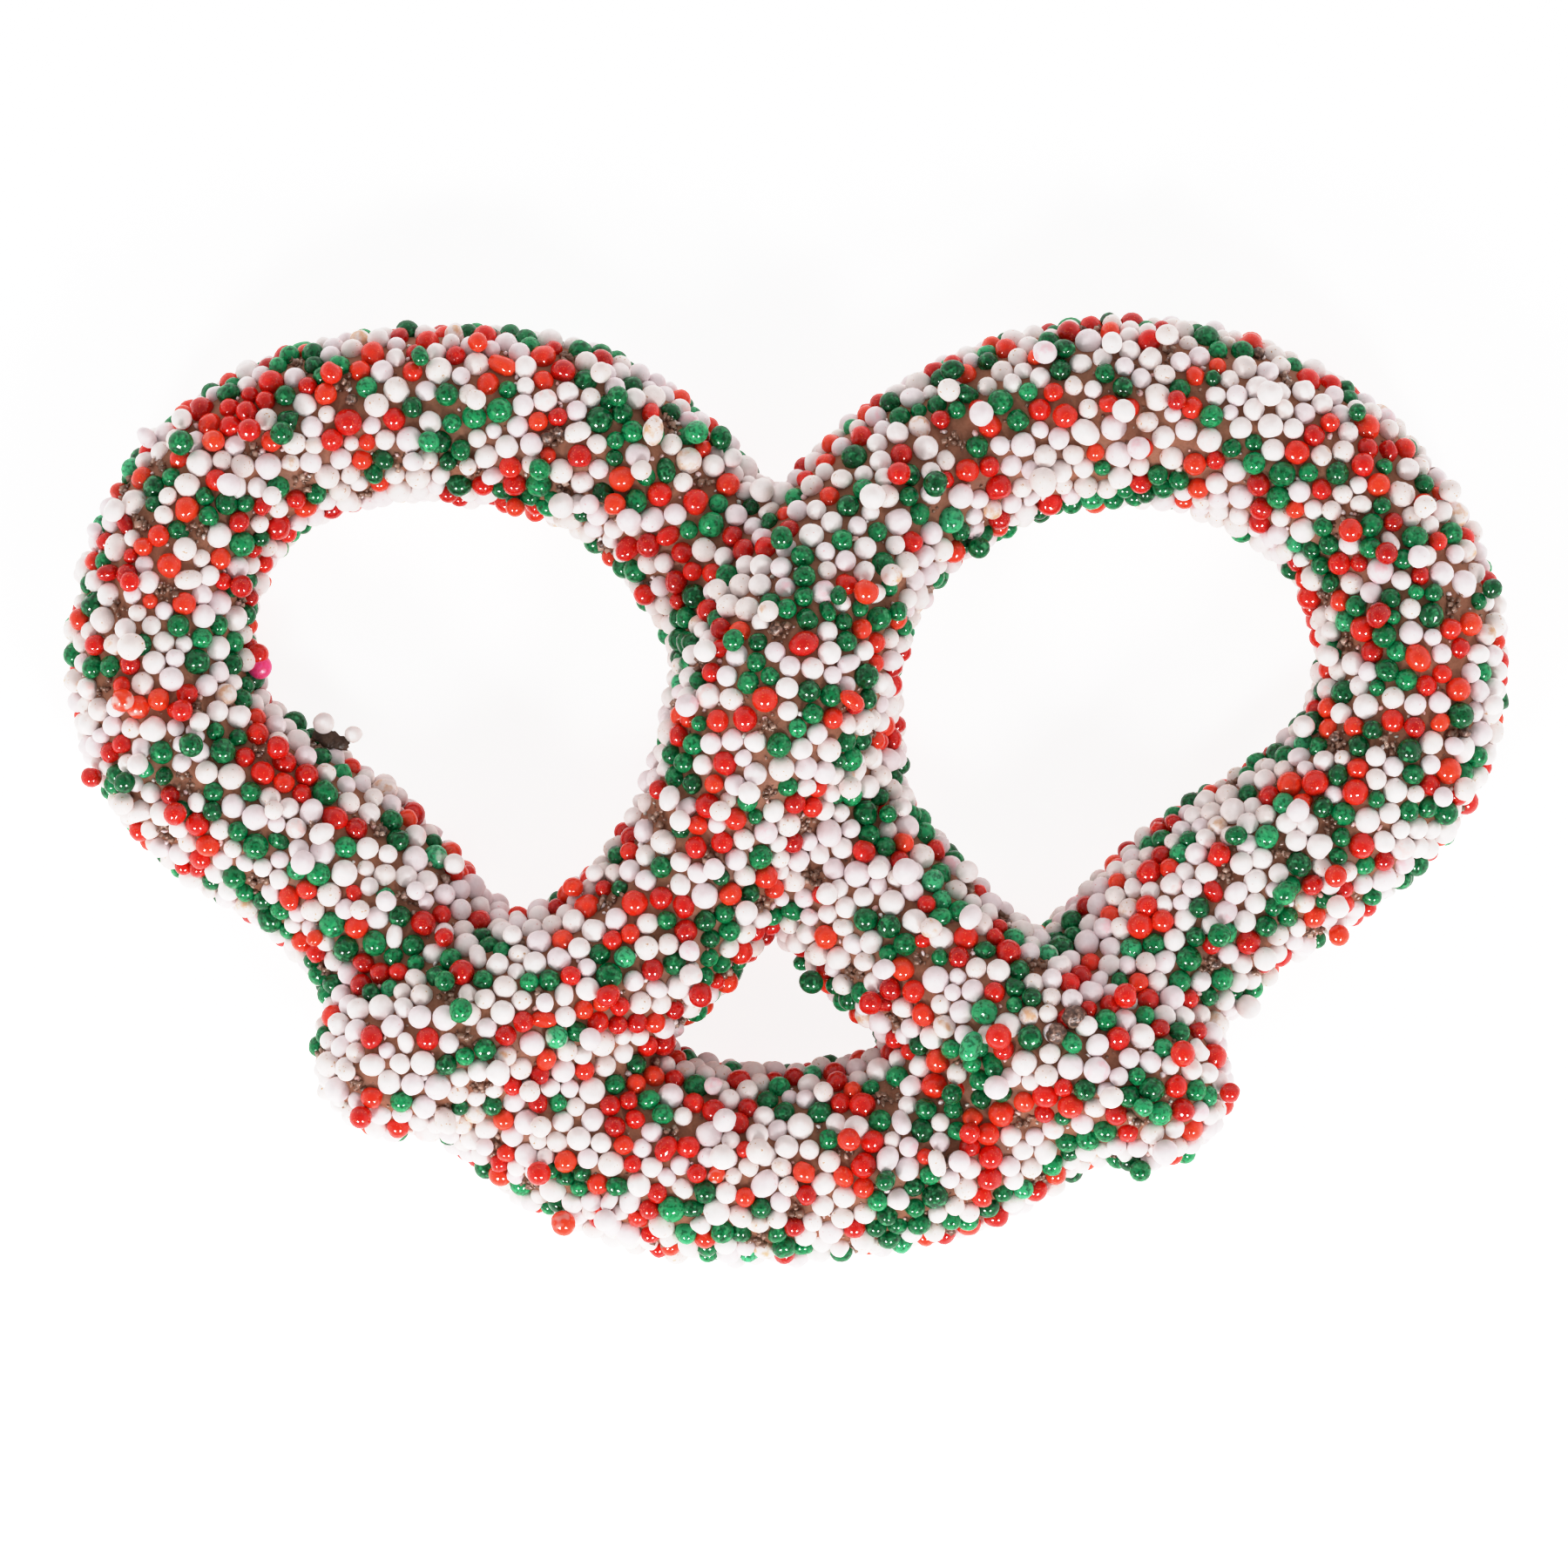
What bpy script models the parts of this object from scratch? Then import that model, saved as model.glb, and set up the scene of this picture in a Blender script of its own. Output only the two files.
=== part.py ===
"""Chocolate covered pretzel: a baked strand tied in a knot, dipped in chocolate, coated in nonpareils.

Metres, +Z up. It lies flat with its shown side up and +X across both loops. Its origin is on the
table, under the middle of its outline.
"""
import math
import random

import bmesh
import bpy
import numpy as np
from mathutils import Euler, Matrix, Vector
from mathutils.bvhtree import BVHTree

MM = 0.001

# Driving dimensions
STRAND_RADIUS = 5.7 * MM  # over the chocolate, where the strand's fullness is 1
FINE_COAT = 0.45 * MM  # mean height of the ordinary nonpareils, which are one layer here
NONPAREIL_RADIUS = 0.92 * MM  # the largest nonpareils, which are single beads
NONPAREIL_STAND = 1.05 * MM  # how far these stand out of the chocolate
NONPAREIL_PITCH = 0.78 * MM  # one bead for each such length of strand
SIZE_SPREAD = 0.05  # beads are up to this share larger or smaller
SEED = 24

# The strand from one end to the other: x, y and height of its middle in mm, and its fullness.
LEFT_LEG = [
    (-27.2, -18.4, 9.4, 0.92),
    (-19.5, -15.4, 9.8, 0.93),
    (-12.8, -12.6, 8.2, 1.01),
    (-7.8, -7.8, 8.0, 1.00),
]
CROSSING_OVER = [(-3.5, 0.6, 10.0, 1.04), (-1.2, 5.8, 10.9, 1.20), (1.0, 11.0, 10.4, 1.10)]
RIGHT_LOOP = [
    (8.2, 21.0, 6.4, 1.00),
    (20.5, 25.8, 5.6, 1.03),
    (34.0, 23.0, 5.6, 1.02),
    (42.2, 12.0, 5.6, 1.03),
    (40.2, 0.8, 5.6, 1.06),
    (30.5, -6.6, 5.6, 1.07),
]
BELLY = [
    (22.5, -14.0, 5.5, 1.10),
    (13.2, -22.4, 5.5, 1.15),
    (0.5, -25.8, 5.5, 1.09),
    (-12.8, -23.8, 5.5, 1.13),
    (-23.4, -15.0, 5.5, 1.08),
]
LEFT_LOOP = [
    (-32.4, -4.6, 5.6, 1.07),
    (-41.2, 1.8, 5.6, 1.07),
    (-43.5, 12.0, 5.6, 1.00),
    (-37.5, 22.4, 5.6, 0.95),
    (-25.0, 25.8, 5.6, 0.95),
    (-12.9, 23.3, 5.6, 0.98),
]
CROSSING_UNDER = [(-3.0, 12.2, 5.5, 1.02), (0.0, 6.0, 5.5, 1.18), (1.2, 0.4, 5.5, 1.02)]
RIGHT_LEG = [
    (4.6, -6.9, 6.0, 1.04),
    (9.9, -12.3, 7.6, 1.00),
    (16.5, -17.0, 9.8, 0.96),
    (24.2, -20.2, 9.4, 0.96),
]
KNOTS = LEFT_LEG + CROSSING_OVER + RIGHT_LOOP + BELLY + LEFT_LOOP + CROSSING_UNDER + RIGHT_LEG

# Fineness of the surface
LINE_STEP = 0.5 * MM
VOXEL = 0.6 * MM
FILLET_PASSES = 60  # rounds of smoothing, which fill the valleys where strands meet
SMOOTHING_LOSS = 0.20 * MM  # what that smoothing takes off the strand
COAT_TRIANGLES = 2200

# Rules for the single beads
GOLDEN_ANGLE = math.pi * (3 - math.sqrt(5))
BEAD_SCATTER = 0.35  # random share of a pitch and of a sixth of a turn
BURIED_DEPTH = 1.2 * MM  # a bead deeper than this lies inside another stretch of strand
BEAD_CLEARANCE = 3.0 * MM  # least distance between two beads
TABLE_GAP = 0.2 * MM  # beads stay this far above the table

NONPAREIL_COLOUR = (0.78, 0.70, 0.69, 1.0)


def clear_scene():
    for thing in list(bpy.data.objects):
        bpy.data.objects.remove(thing)


def strand_line():
    """Rows of x, y, z and chocolate radius along a cubic spline through the knots."""
    knots = np.array(KNOTS) * (MM, MM, MM, STRAND_RADIUS)
    chord = np.linalg.norm(np.diff(knots[:, :3], axis=0), axis=1)
    at = np.concatenate([[0.0], np.cumsum(chord)])
    matrix = np.eye(len(at))
    pull = np.zeros(knots.shape)
    for i in range(1, len(at) - 1):
        matrix[i, i - 1 : i + 2] = chord[i - 1], 2 * (chord[i - 1] + chord[i]), chord[i]
        pull[i] = 6 * ((knots[i + 1] - knots[i]) / chord[i] - (knots[i] - knots[i - 1]) / chord[i - 1])
    bend = np.linalg.solve(matrix, pull)
    place = np.arange(0.0, at[-1], LINE_STEP)
    i = np.searchsorted(at, place, side="right") - 1
    span = chord[i][:, None]
    on = (place - at[i])[:, None]
    left = span - on
    line = (bend[i] * left**3 + bend[i + 1] * on**3) / (6 * span)
    line += (knots[i] / span - bend[i] * span / 6) * left
    line += (knots[i + 1] / span - bend[i + 1] * span / 6) * on
    radius = line[:, 3:]
    low = (line[:, :2] - radius).min(axis=0)
    high = (line[:, :2] + radius).max(axis=0)
    line[:, :2] -= (low + high) / 2
    return line


def strand_tube(line, swell):
    """The swept strand with round ends, its radius larger by swell; it still passes through itself."""
    curve = bpy.data.curves.new("strand", "CURVE")
    curve.dimensions = "3D"
    curve.bevel_depth = 1.0
    curve.bevel_resolution = 6
    curve.use_fill_caps = True
    spline = curve.splines.new("POLY")
    spline.points.add(len(line) - 1)
    for point, (x, y, z, radius) in zip(spline.points, line):
        point.co = (x, y, z, 1.0)
        point.radius = radius + swell
    thing = bpy.data.objects.new("strand", curve)
    bpy.context.collection.objects.link(thing)
    mesh = evaluated_mesh(thing)
    bpy.data.objects.remove(thing)
    body = bmesh.new()
    body.from_mesh(mesh)
    for x, y, z, radius in (line[0], line[-1]):
        bmesh.ops.create_uvsphere(
            body, u_segments=32, v_segments=16, radius=radius + swell, matrix=Matrix.Translation((x, y, z))
        )
    body.to_mesh(mesh)
    body.free()
    return mesh


def evaluated_mesh(thing):
    depsgraph = bpy.context.evaluated_depsgraph_get()
    return bpy.data.meshes.new_from_object(thing.evaluated_get(depsgraph))


def coat_object(line):
    """The chocolate with its layer of fine nonpareils: strands melted together and flat underneath."""
    coat = bpy.data.objects.new("chocolate_pretzel", strand_tube(line, FINE_COAT + SMOOTHING_LOSS))
    bpy.context.collection.objects.link(coat)
    melt = coat.modifiers.new("melt", "REMESH")
    melt.mode = "VOXEL"
    melt.voxel_size = VOXEL
    fillet = coat.modifiers.new("fillet", "SMOOTH")
    fillet.factor = 0.5
    fillet.iterations = FILLET_PASSES
    coat.data = evaluated_mesh(coat)
    coat.modifiers.clear()
    return coat


def bead_sites(line, skin):
    """Places, outward directions and radii of the single beads: a golden angle spiral round the strand."""
    rng = random.Random(SEED)
    every = NONPAREIL_PITCH / LINE_STEP
    sites = []
    for n in range(int((len(line) - 1) / every)):
        along = (n + rng.uniform(0, BEAD_SCATTER)) * every
        turn = n * GOLDEN_ANGLE + rng.uniform(-1, 1) * BEAD_SCATTER * math.pi / 6
        radius = NONPAREIL_RADIUS * (1 + SIZE_SPREAD * rng.uniform(-1, 1))
        i = min(int(along), len(line) - 2)
        tangent = Vector(line[i + 1][:3] - line[i][:3]).normalized()
        side = tangent.cross(Vector((0, 0, 1))).normalized()
        up = side.cross(tangent)
        out = side * math.cos(turn) + up * math.sin(turn)
        start = Vector(line[i][:3]) + out * (line[i][3] + FINE_COAT)
        foot, normal, _, distance = skin.find_nearest(start)
        crowded = any((foot - other[0]).length < BEAD_CLEARANCE for other in sites)
        too_low = foot.z < NONPAREIL_RADIUS + TABLE_GAP
        if distance < BURIED_DEPTH and not crowded and not too_low:
            sites.append((foot, normal, radius))
    return sites


def bead_collection(sites):
    """One faceted bead at each site, sunk so that it stands NONPAREIL_STAND out of the chocolate."""
    rng = random.Random(SEED)
    beads = bpy.data.collections.new("nonpareils")
    bpy.context.scene.collection.children.link(beads)
    for n, (foot, normal, radius) in enumerate(sites):
        turn = Euler([rng.uniform(0, math.tau) for _ in range(3)]).to_matrix().to_4x4()
        body = bmesh.new()
        bmesh.ops.create_icosphere(body, subdivisions=1, radius=radius, matrix=turn)
        mesh = bpy.data.meshes.new(f"nonpareil_{n}")
        body.to_mesh(mesh)
        body.free()
        bead = bpy.data.objects.new(mesh.name, mesh)
        bead.location = foot + normal * (NONPAREIL_STAND - FINE_COAT - radius)
        beads.objects.link(bead)
    return beads


def table_cutter(reach):
    """A block whose top is the table; what the strand has below it is cut off as its flat underside."""
    body = bmesh.new()
    bmesh.ops.create_cube(body, size=2 * reach, matrix=Matrix.Translation((0, 0, -reach)))
    mesh = bpy.data.meshes.new("table_cutter")
    body.to_mesh(mesh)
    body.free()
    cutter = bpy.data.objects.new("table_cutter", mesh)
    cutter.hide_render = True
    cutter.display_type = "WIRE"
    bpy.context.collection.objects.link(cutter)
    return cutter


def nonpareil_material():
    material = bpy.data.materials.new("nonpareils")
    material.use_nodes = True
    shader = material.node_tree.nodes["Principled BSDF"]
    shader.inputs["Base Color"].default_value = NONPAREIL_COLOUR
    shader.inputs["Roughness"].default_value = 0.45
    shader.inputs["Metallic"].default_value = 0.0
    return material


def main():
    clear_scene()
    line = strand_line()
    pretzel = coat_object(line)
    skin = BVHTree.FromObject(pretzel, bpy.context.evaluated_depsgraph_get())
    beads = bead_collection(bead_sites(line, skin))

    thin = pretzel.modifiers.new("thin", "DECIMATE")
    thin.ratio = COAT_TRIANGLES / (2 * len(pretzel.data.polygons))
    foot = pretzel.modifiers.new("foot", "BOOLEAN")
    foot.operation = "DIFFERENCE"
    foot.object = table_cutter(reach=0.1)
    fuse = pretzel.modifiers.new("fuse", "BOOLEAN")
    fuse.operation = "UNION"
    fuse.operand_type = "COLLECTION"
    fuse.collection = beads
    pretzel.data = evaluated_mesh(pretzel)
    pretzel.modifiers.clear()
    for bead in list(beads.objects):
        bpy.data.objects.remove(bead)
    bpy.data.collections.remove(beads)

    pretzel.data.name = pretzel.name
    pretzel.data.materials.clear()
    pretzel.data.materials.append(nonpareil_material())
    pretzel.data.shade_smooth()
    pretzel.data.set_sharp_from_angle(angle=math.radians(35))


main()
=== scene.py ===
"""Looks of a chocolate covered pretzel: satin milk chocolate under white, red and green nonpareils."""

import math
import random

import bmesh
import bpy
import numpy as np
from mathutils import Matrix, Vector
from mathutils.bvhtree import BVHTree
from mathutils.kdtree import KDTree


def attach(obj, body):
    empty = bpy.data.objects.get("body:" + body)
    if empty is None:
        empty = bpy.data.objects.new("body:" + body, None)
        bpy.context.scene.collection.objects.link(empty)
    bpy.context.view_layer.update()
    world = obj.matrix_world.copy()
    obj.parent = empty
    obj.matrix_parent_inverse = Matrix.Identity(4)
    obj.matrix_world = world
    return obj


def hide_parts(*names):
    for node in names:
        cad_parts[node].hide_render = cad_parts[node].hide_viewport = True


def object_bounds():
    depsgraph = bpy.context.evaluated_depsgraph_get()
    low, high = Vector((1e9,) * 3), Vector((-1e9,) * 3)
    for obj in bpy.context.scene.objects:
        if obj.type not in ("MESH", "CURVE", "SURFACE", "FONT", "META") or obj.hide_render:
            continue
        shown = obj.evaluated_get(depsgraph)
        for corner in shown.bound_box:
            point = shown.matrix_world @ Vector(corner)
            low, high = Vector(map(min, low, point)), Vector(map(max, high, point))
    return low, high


NODE = "chocolate_pretzel"
MM = 0.001
BARE_SUGAR = (0.86, 0.80, 0.77, 1)

# The strand and its large nonpareils, as the solid has them
STRAND_RADIUS = 5.7 * MM
FINE_COAT = 0.45 * MM
NONPAREIL_RADIUS = 0.92 * MM
NONPAREIL_STAND = 1.05 * MM
NONPAREIL_PITCH = 0.78 * MM
SIZE_SPREAD = 0.05
SEED = 24

# From one end to the other: x, y and height of the strand's middle in mm, and its fullness
LEFT_LEG = [
    (-27.2, -18.4, 9.4, 0.92),
    (-19.5, -15.4, 9.8, 0.93),
    (-12.8, -12.6, 8.2, 1.01),
    (-7.8, -7.8, 8.0, 1.00),
]
CROSSING_OVER = [(-3.5, 0.6, 10.0, 1.04), (-1.2, 5.8, 10.9, 1.20), (1.0, 11.0, 10.4, 1.10)]
RIGHT_LOOP = [
    (8.2, 21.0, 6.4, 1.00),
    (20.5, 25.8, 5.6, 1.03),
    (34.0, 23.0, 5.6, 1.02),
    (42.2, 12.0, 5.6, 1.03),
    (40.2, 0.8, 5.6, 1.06),
    (30.5, -6.6, 5.6, 1.07),
]
BELLY = [
    (22.5, -14.0, 5.5, 1.10),
    (13.2, -22.4, 5.5, 1.15),
    (0.5, -25.8, 5.5, 1.09),
    (-12.8, -23.8, 5.5, 1.13),
    (-23.4, -15.0, 5.5, 1.08),
]
LEFT_LOOP = [
    (-32.4, -4.6, 5.6, 1.07),
    (-41.2, 1.8, 5.6, 1.07),
    (-43.5, 12.0, 5.6, 1.00),
    (-37.5, 22.4, 5.6, 0.95),
    (-25.0, 25.8, 5.6, 0.95),
    (-12.9, 23.3, 5.6, 0.98),
]
CROSSING_UNDER = [(-3.0, 12.2, 5.5, 1.02), (0.0, 6.0, 5.5, 1.18), (1.2, 0.4, 5.5, 1.02)]
RIGHT_LEG = [
    (4.6, -6.9, 6.0, 1.04),
    (9.9, -12.3, 7.6, 1.00),
    (16.5, -17.0, 9.8, 0.96),
    (24.2, -20.2, 9.4, 0.96),
]
KNOTS = LEFT_LEG + CROSSING_OVER + RIGHT_LOOP + BELLY + LEFT_LOOP + CROSSING_UNDER + RIGHT_LEG
LINE_STEP = 0.5 * MM

# Melting the strands together, first as in the solid, then with a larger voxel for the chocolate that shows
SOLID_VOXEL = 0.6 * MM
CHOCOLATE_VOXEL = 0.8 * MM
FILLET_PASSES = 60
SMOOTHING_LOSS = 0.20 * MM

# Rules for the large nonpareils
GOLDEN_ANGLE = math.pi * (3 - math.sqrt(5))
BEAD_SCATTER = 0.35
BURIED_DEPTH = 1.2 * MM
BEAD_CLEARANCE = 3.0 * MM
TABLE_GAP = 0.2 * MM

# The nonpareils of ordinary size
BALL_RADIUS = 0.755 * MM
BALL_RADIUS_SPREAD = 0.075 * MM
BALL_RADIUS_RANGE = (0.56 * MM, 0.93 * MM)
BALL_RISE = (-0.15, 0.46)  # how far a ball's middle is above the chocolate, in radii
COVER = 0.83  # share of the chocolate that the first layer covers
START_POINTS = 100000  # random places on the chocolate, of which the first are used
SETTLING_ROUNDS = 70
PUSH = 0.8  # share of an overlap that one round undoes
FIRST_REACH = 0.15  # the balls start by keeping this much more distance, which spreads them evenly
REACH_FADE = 1.6  # and lose that distance this many times as fast as the rounds pass
BARE_ROOM = 0.5 * MM  # a late ball goes where every other one is this far away
LATE_BALLS = 96
LATE_TRIES = 60  # places found for each of them, of which the first that suit are used
LATE_RADIUS = (0.56 * MM, 0.74 * MM)
LATE_RISE = 0.4  # height of a late ball's middle above the chocolate, in radii
PERCHED_SHARE = 0.062  # of the first layer's number, lying on top of it
PERCHED_TRIES = 12  # places tried for each of them
PERCHED_RISE = (0.7, 1.7)  # heights of their middles above the chocolate, in radii
PERCHED_SINK = 0.96  # they rest at this share of the two radii together
PERCHED_APART = 1.9  # least distance between two of them, in ball radii
PERCHED_UPWARD = 0.35  # they lie where the chocolate faces up at least this much
PERCHED_REACH = 0.4 * MM  # how far these may pass the solid's box
FOOT_LEVEL = 0.35 * MM  # the chocolate's flat underside, above the table that the lowest balls touch
BALL_CUTS = 2  # cuts in each edge of a ball's icosahedron

# How far balls are out of round
ROUND_STRETCH = 0.035  # usual spread of a ball's length
ROUND_EGG = 0.02  # and of how much thicker one end is
EGG_SHARE = 0.15
EGG_STRETCH = (1.08, 1.28)
EGG_THICKER = (0.0, 0.13)
TWIN_SHARE = 0.025  # two balls grown into one
TWIN_STRETCH = (1.3, 1.5)
TWIN_THICKER = (0.0, 0.06)
TWIN_WAIST = (0.02, 0.16)
FLAT_SPOTS = 7
FLAT_DEPTH = 0.26  # of the deepest flat spot, in radii
FLAT_FACING = 0.5  # how squarely a place has to face a flat spot to be moved by it
FLAT_PULL = 0.65  # how far such a place moves towards the flat

# What share of the balls each kind has
KIND_SHARES = {"white": 0.205, "lilac": 0.20, "cream": 0.16, "red": 0.22, "green": 0.215}

# What lies in the gaps
GAP_TRIES = 60000  # random places on the chocolate that are looked at for gaps
NEIGHBOURS = 4  # nearest balls that a place is set against
SUGAR_BITS = 620
SUGAR_BIT_RADIUS = (0.09 * MM, 0.26 * MM)
SUGAR_BIT_ROOM = 0.06 * MM  # least distance to a ball
CRYSTAL_CLUSTERS = 105  # each in the place of a ball
CLUSTER_UPWARD = 0.15  # where the chocolate faces up at least this much
CLUSTER_CLEARANCE = 3.2 * MM  # least distance between two of them
CRYSTALS_EACH = (9, 17)
CRYSTAL_RADIUS = (0.14 * MM, 0.34 * MM)
CLUSTER_RADIUS = 0.75 * MM
LOOSE_CRYSTALS = 1000
LOOSE_RADIUS = (0.06 * MM, 0.17 * MM)
LOOSE_ROOM = 0.02 * MM
CHIPS = 24
CHIP_RADIUS = (0.28 * MM, 0.52 * MM)
CHIP_ROOM = 0.30 * MM
CHIP_ROUGHNESS = 0.05  # random shift of its corners, in radii
LARGE_CHIPS = ((21.9, -8.4, 0.85), (18.6, -15.3, 0.75))  # x, y and radius in mm

# Strays on the inner side of the left loop: a chocolate flake by its two ends in mm, and single balls by
# x, y, height and radius in mm. Two white ones lie on the flake, and the pink one is under the red one.
STRAY_FLAKE = ((-32.6, 3.9, 7.4), (-30.1, 3.0, 7.3))
FLAKE_WIDTH = 1.3 * MM
FLAKE_HALF_THICKNESS = 0.16 * MM
FLAKE_SAG = 0.22 * MM
STRAY_WHITES = ((-31.8, 4.6, 8.0, 0.76), (-29.75, 3.8, 7.8, 0.76))
STRAY_REDS = ((-36.4, 9.3, 7.2, 0.80),)
PINK_BALL = (-36.25, 8.45, 7.0, 0.86)

# Camera and light
CAMERA_HEIGHT = 0.62
FRAME_WIDTH = 0.108  # what the photograph's frame spans at the height of the outline
OUTLINE_HEIGHT = 0.006
FRAME_CENTRE = (-0.0002, 0.0004)
SENSOR_WIDTH = 36.0
STROBES = ((-0.30, -0.44, 0.40), (0.26, -0.46, 0.42))
STROBE_SIZE = 0.105
STROBE_POWER = 1.35
GLINT_SIZE = 0.17  # the reflectors round the strobes, which show in glossy sugar alone
GLINT_POWER = 5.0
HORIZON = 0.96  # brightness of the white walls
ZENITH = 0.34  # and of the dimmer ceiling
FLOOR_GLOW = 0.66  # of a floor lit from below
FADE = (0.45, 0.88)  # heights of the sky between which the walls turn into the ceiling
FLOOR_REACH = 3.0
TONE_END = 3.0  # brightest light that the tone curve takes
# The tone curve's points: light in, light out
TONE = (
    (0.2, 0.225),
    (0.54, 0.66),
    (0.72, 0.835),
    (0.90, 0.905),
    (1.06, 0.95),
    (1.25, 0.98),
    (1.5, 1.0),
)


def strand_line():
    """Rows of x, y, z and chocolate radius along a cubic spline through the knots."""
    knots = np.array(KNOTS) * (MM, MM, MM, STRAND_RADIUS)
    chord = np.linalg.norm(np.diff(knots[:, :3], axis=0), axis=1)
    at = np.concatenate([[0.0], np.cumsum(chord)])
    matrix = np.eye(len(at))
    pull = np.zeros(knots.shape)
    for i in range(1, len(at) - 1):
        matrix[i, i - 1 : i + 2] = chord[i - 1], 2 * (chord[i - 1] + chord[i]), chord[i]
        pull[i] = 6 * ((knots[i + 1] - knots[i]) / chord[i] - (knots[i] - knots[i - 1]) / chord[i - 1])
    bend = np.linalg.solve(matrix, pull)
    place = np.arange(0.0, at[-1], LINE_STEP)
    i = np.searchsorted(at, place, side="right") - 1
    span = chord[i][:, None]
    on = (place - at[i])[:, None]
    left = span - on
    line = (bend[i] * left**3 + bend[i + 1] * on**3) / (6 * span)
    line += (knots[i] / span - bend[i] * span / 6) * left
    line += (knots[i + 1] / span - bend[i + 1] * span / 6) * on
    radius = line[:, 3:]
    low = (line[:, :2] - radius).min(axis=0)
    high = (line[:, :2] + radius).max(axis=0)
    line[:, :2] -= (low + high) / 2
    return line


def evaluated_mesh(thing):
    depsgraph = bpy.context.evaluated_depsgraph_get()
    return bpy.data.meshes.new_from_object(thing.evaluated_get(depsgraph))


def strand_tube(line, swell):
    """The swept strand with round ends, its radius larger by swell; it still passes through itself."""
    curve = bpy.data.curves.new("strand", "CURVE")
    curve.dimensions = "3D"
    curve.bevel_depth = 1.0
    curve.bevel_resolution = 6
    curve.use_fill_caps = True
    spline = curve.splines.new("POLY")
    spline.points.add(len(line) - 1)
    for point, (x, y, z, radius) in zip(spline.points, line):
        point.co = (x, y, z, 1.0)
        point.radius = radius + swell
    thing = bpy.data.objects.new("strand", curve)
    bpy.context.collection.objects.link(thing)
    mesh = evaluated_mesh(thing)
    bpy.data.objects.remove(thing)
    body = bmesh.new()
    body.from_mesh(mesh)
    for x, y, z, radius in (line[0], line[-1]):
        bmesh.ops.create_uvsphere(
            body, u_segments=32, v_segments=16, radius=radius + swell, matrix=Matrix.Translation((x, y, z))
        )
    body.to_mesh(mesh)
    body.free()
    return mesh


def melted_coat(name, line, swell, voxel):
    """An object of the strands melted together, with as wide a fillet at any voxel size."""
    coat = bpy.data.objects.new(name, strand_tube(line, swell + SMOOTHING_LOSS))
    bpy.context.collection.objects.link(coat)
    melt = coat.modifiers.new("melt", "REMESH")
    melt.mode = "VOXEL"
    melt.voxel_size = voxel
    fillet = coat.modifiers.new("fillet", "SMOOTH")
    fillet.factor = 0.5
    fillet.iterations = round(FILLET_PASSES * (SOLID_VOXEL / voxel) ** 2)
    coat.data = evaluated_mesh(coat)
    coat.modifiers.clear()
    return coat


def skin_of(thing):
    return BVHTree.FromObject(thing, bpy.context.evaluated_depsgraph_get())


def bead_sites(line, skin):
    """Places, outward directions and radii of the large nonpareils, on a golden angle spiral."""
    rng = random.Random(SEED)
    every = NONPAREIL_PITCH / LINE_STEP
    sites = []
    for n in range(int((len(line) - 1) / every)):
        along = (n + rng.uniform(0, BEAD_SCATTER)) * every
        turn = n * GOLDEN_ANGLE + rng.uniform(-1, 1) * BEAD_SCATTER * math.pi / 6
        radius = NONPAREIL_RADIUS * (1 + SIZE_SPREAD * rng.uniform(-1, 1))
        i = min(int(along), len(line) - 2)
        tangent = Vector(line[i + 1][:3] - line[i][:3]).normalized()
        side = tangent.cross(Vector((0, 0, 1))).normalized()
        up = side.cross(tangent)
        out = side * math.cos(turn) + up * math.sin(turn)
        start = Vector(line[i][:3]) + out * (line[i][3] + FINE_COAT)
        foot, normal, _, distance = skin.find_nearest(start)
        crowded = any((foot - other[0]).length < BEAD_CLEARANCE for other in sites)
        too_low = foot.z < NONPAREIL_RADIUS + TABLE_GAP
        if distance < BURIED_DEPTH and not crowded and not too_low:
            sites.append((foot, normal, radius))
    return sites


def triangle_arrays(mesh):
    mesh.calc_loop_triangles()
    corners = np.empty(len(mesh.loop_triangles) * 3, np.int32)
    mesh.loop_triangles.foreach_get("vertices", corners)
    places = np.empty(len(mesh.vertices) * 3, np.float32)
    mesh.vertices.foreach_get("co", places)
    return places.reshape(-1, 3).astype(float), corners.reshape(-1, 3)


def surface_points(mesh, count, rng):
    """Points spread at random over a mesh, by area, and the mesh's area."""
    places, corners = triangle_arrays(mesh)
    a, b, c = (places[corners[:, k]] for k in range(3))
    area = np.linalg.norm(np.cross(b - a, c - a), axis=1) / 2
    pick = rng.choice(len(area), size=count, p=area / area.sum())
    u, v = rng.random((2, count, 1))
    over = u + v > 1
    u, v = np.where(over, 1 - u, u), np.where(over, 1 - v, v)
    return a[pick] + (b - a)[pick] * u + (c - a)[pick] * v, area.sum()


def on_skin(skin, centres, radii, rise):
    """Each centre put back at its rise above the chocolate, and no ball below the table."""
    feet = np.empty_like(centres)
    normals = np.empty_like(centres)
    for i, centre in enumerate(centres):
        foot, normal, _, _ = skin.find_nearest(centre)
        feet[i] = foot
        normals[i] = normal
    put = feet + normals * rise[:, None]
    put[:, 2] = np.maximum(put[:, 2], radii)
    return put, normals


def tree_of(places):
    tree = KDTree(len(places))
    for i, place in enumerate(places):
        tree.insert(place, i)
    tree.balance()
    return tree


def close_pairs(centres, reach):
    """Index pairs of balls whose centres are nearer than the two reaches together."""
    tree = tree_of(centres)
    widest = reach.max()
    first, second = [], []
    for i, centre in enumerate(centres):
        for _, j, distance in tree.find_range(centre, reach[i] + widest):
            if j > i and distance < reach[i] + reach[j]:
                first.append(i)
                second.append(j)
    return np.array(first, int), np.array(second, int)


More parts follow.
